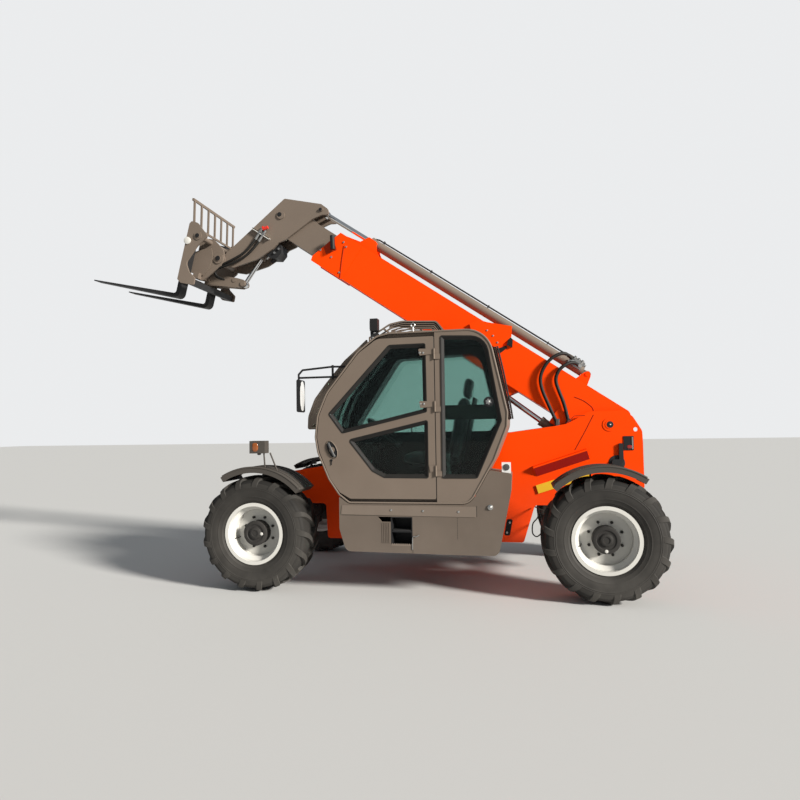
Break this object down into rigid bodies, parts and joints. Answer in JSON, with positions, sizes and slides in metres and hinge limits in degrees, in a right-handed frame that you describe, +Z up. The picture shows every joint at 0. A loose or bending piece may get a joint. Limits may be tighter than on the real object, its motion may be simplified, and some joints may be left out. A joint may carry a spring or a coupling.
{
  "type": "telehandler",
  "caption": "Telescopic handler with pallet forks on a raised boom, side cab, engine pod, steered wheels under curved fenders and a louvred roof guard.",
  "frame": {"origin": "on the ground, in the middle of the whole length and width, with the boom as stored", "axes": "+X forwards, along the forks; +Y to the machine's left, the cab's side; +Z up"},
  "size_m": [5.7363, 2.2, 3.9058],
  "materials": {
    "orange_paint": "gloss",
    "brown_paint": "satin",
    "white_paint": "satin",
    "yellow_paint": "satin",
    "black_paint": "satin",
    "axle_steel": "satin",
    "engine_iron": "rough",
    "rod_chrome": "polished",
    "tyre_rubber": "matte",
    "hose_rubber": "matte",
    "black_plastic": "matte",
    "lamp_plastic": "gloss",
    "seat_cloth": "woven",
    "cab_pane": "clear"
  },
  "bodies": {
    "machine": {"chassis_frame": "orange_paint", "front_axle": "axle_steel", "rear_axle": "axle_steel", "cab_frame": "brown_paint", "cab_glass": "cab_pane", "roof_guard": "brown_paint", "screen_guard": "brown_paint", "cab_seat": "seat_cloth", "cab_controls": "black_plastic", "cab_skirt": "brown_paint", "entry_step": "black_plastic", "fuel_tank": "black_paint", "engine_pod": "brown_paint", "engine_block": "engine_iron", "safety_prop": "yellow_paint", "lamps": "lamp_plastic", "lamp_posts": "black_paint", "mirror": "black_plastic"},
    "door": {"door_frame": "brown_paint", "door_glass": "cab_pane"},
    "hood": {"engine_hood": "brown_paint"},
    "boom": {"boom_outer": "orange_paint", "boom_hoses": "hose_rubber", "telescope_barrel": "brown_paint"},
    "inner_boom": {"boom_inner": "brown_paint", "boom_head": "brown_paint", "telescope_rod": "rod_chrome"},
    "carriage": {"fork_carriage": "brown_paint", "forks": "black_paint"},
    "lift_barrel": {"lift_barrels": "brown_paint"},
    "lift_rod": {"lift_rods": "rod_chrome"},
    "tilt_barrel": {"tilt_barrel": "brown_paint"},
    "tilt_rod": {"tilt_rod": "rod_chrome"},
    "steer_front_left": {"knuckle_front_left": "axle_steel", "fender_front_left": "black_plastic"},
    "wheel_front_left": {"tyre_front_left": "tyre_rubber", "rim_front_left": "white_paint", "hub_front_left": "axle_steel"},
    "steer_front_right": {"knuckle_front_right": "axle_steel", "fender_front_right": "black_plastic"},
    "wheel_front_right": {"tyre_front_right": "tyre_rubber", "rim_front_right": "white_paint", "hub_front_right": "axle_steel"},
    "steer_rear_left": {"knuckle_rear_left": "axle_steel", "fender_rear_left": "black_plastic"},
    "wheel_rear_left": {"tyre_rear_left": "tyre_rubber", "rim_rear_left": "white_paint", "hub_rear_left": "axle_steel"},
    "steer_rear_right": {"knuckle_rear_right": "axle_steel", "fender_rear_right": "black_plastic"},
    "wheel_rear_right": {"tyre_rear_right": "tyre_rubber", "rim_rear_right": "white_paint", "hub_rear_right": "axle_steel"}
  },
  "joints": [
    {"name": "steer_front_left", "type": "hinge", "parent": "machine", "child": "steer_front_left", "pos_m": [0.673, 0.62, 0.515], "axis": [0, 0, 1], "range_deg": [-35, 35]},
    {"name": "spin_front_left", "type": "hinge", "parent": "steer_front_left", "child": "wheel_front_left", "pos_m": [0.673, 0.9, 0.515], "axis": [0, 1, 0], "continuous": true},
    {"name": "steer_front_right", "type": "hinge", "parent": "machine", "child": "steer_front_right", "pos_m": [0.673, -0.62, 0.515], "axis": [0, 0, 1], "range_deg": [-35, 35]},
    {"name": "spin_front_right", "type": "hinge", "parent": "steer_front_right", "child": "wheel_front_right", "pos_m": [0.673, -0.9, 0.515], "axis": [0, 1, 0], "continuous": true},
    {"name": "steer_rear_left", "type": "hinge", "parent": "machine", "child": "steer_rear_left", "pos_m": [-2.347, 0.62, 0.515], "axis": [0, 0, 1], "range_deg": [-35, 35]},
    {"name": "spin_rear_left", "type": "hinge", "parent": "steer_rear_left", "child": "wheel_rear_left", "pos_m": [-2.347, 0.9, 0.515], "axis": [0, 1, 0], "continuous": true},
    {"name": "steer_rear_right", "type": "hinge", "parent": "machine", "child": "steer_rear_right", "pos_m": [-2.347, -0.62, 0.515], "axis": [0, 0, 1], "range_deg": [-35, 35]},
    {"name": "spin_rear_right", "type": "hinge", "parent": "steer_rear_right", "child": "wheel_rear_right", "pos_m": [-2.347, -0.9, 0.515], "axis": [0, 1, 0], "continuous": true},
    {"name": "door_swing", "type": "hinge", "parent": "machine", "child": "door", "pos_m": [-0.985, 1.089, 1.617], "axis": [0, 0, 1], "range_deg": [0, 95]},
    {"name": "hood_lift", "type": "hinge", "parent": "machine", "child": "hood", "pos_m": [-0.837, -0.262, 1.362], "axis": [-1, 0, 0], "range_deg": [0, 50]},
    {"name": "boom_lift", "type": "hinge", "parent": "machine", "child": "boom", "pos_m": [-2.501, 0, 1.443], "axis": [0, -1, 0], "range_deg": [-36, 30]},
    {"name": "telescope", "type": "slide", "parent": "boom", "child": "inner_boom", "axis": [0.8241, 0, 0.5664], "range_m": [-0.32, 2]},
    {"name": "carriage_tilt", "type": "hinge", "parent": "inner_boom", "child": "carriage", "pos_m": [1.47306, 0, 3.30186], "axis": [0, 1, 0], "range_deg": [-20, 50]},
    {"name": "lift_barrel_swing", "type": "hinge", "parent": "machine", "child": "lift_barrel", "pos_m": [-2.3064, 0, 1.1661], "axis": [0, -1, 0], "range_deg": [-38.2, 32.1]},
    {"name": "lift_rod_slide", "type": "slide", "parent": "lift_barrel", "child": "lift_rod", "axis": [0.7952, 0, 0.6063], "range_m": [-0.206, 0.172]},
    {"name": "tilt_barrel_swing", "type": "hinge", "parent": "inner_boom", "child": "tilt_barrel", "pos_m": [0.76965, 0, 3.73211], "axis": [0, 1, 0], "range_deg": [-2.6, 3.5]},
    {"name": "tilt_rod_slide", "type": "slide", "parent": "tilt_barrel", "child": "tilt_rod", "axis": [0.587, 0, -0.8096], "range_m": [-0.276, 0.113]}
  ],
  "couplings": [
    {"joint": "steer_front_right", "follows": "steer_front_left", "ratio": 1},
    {"joint": "steer_rear_right", "follows": "steer_rear_left", "ratio": 1},
    {"joint": "lift_barrel_swing", "follows": "boom_lift", "ratio": 1.0046},
    {"joint": "lift_rod_slide", "follows": "boom_lift", "m_per_rad": 0.3198},
    {"joint": "tilt_barrel_swing", "follows": "carriage_tilt", "ratio": 0.03},
    {"joint": "tilt_rod_slide", "follows": "carriage_tilt", "m_per_rad": -0.3104}
  ]
}
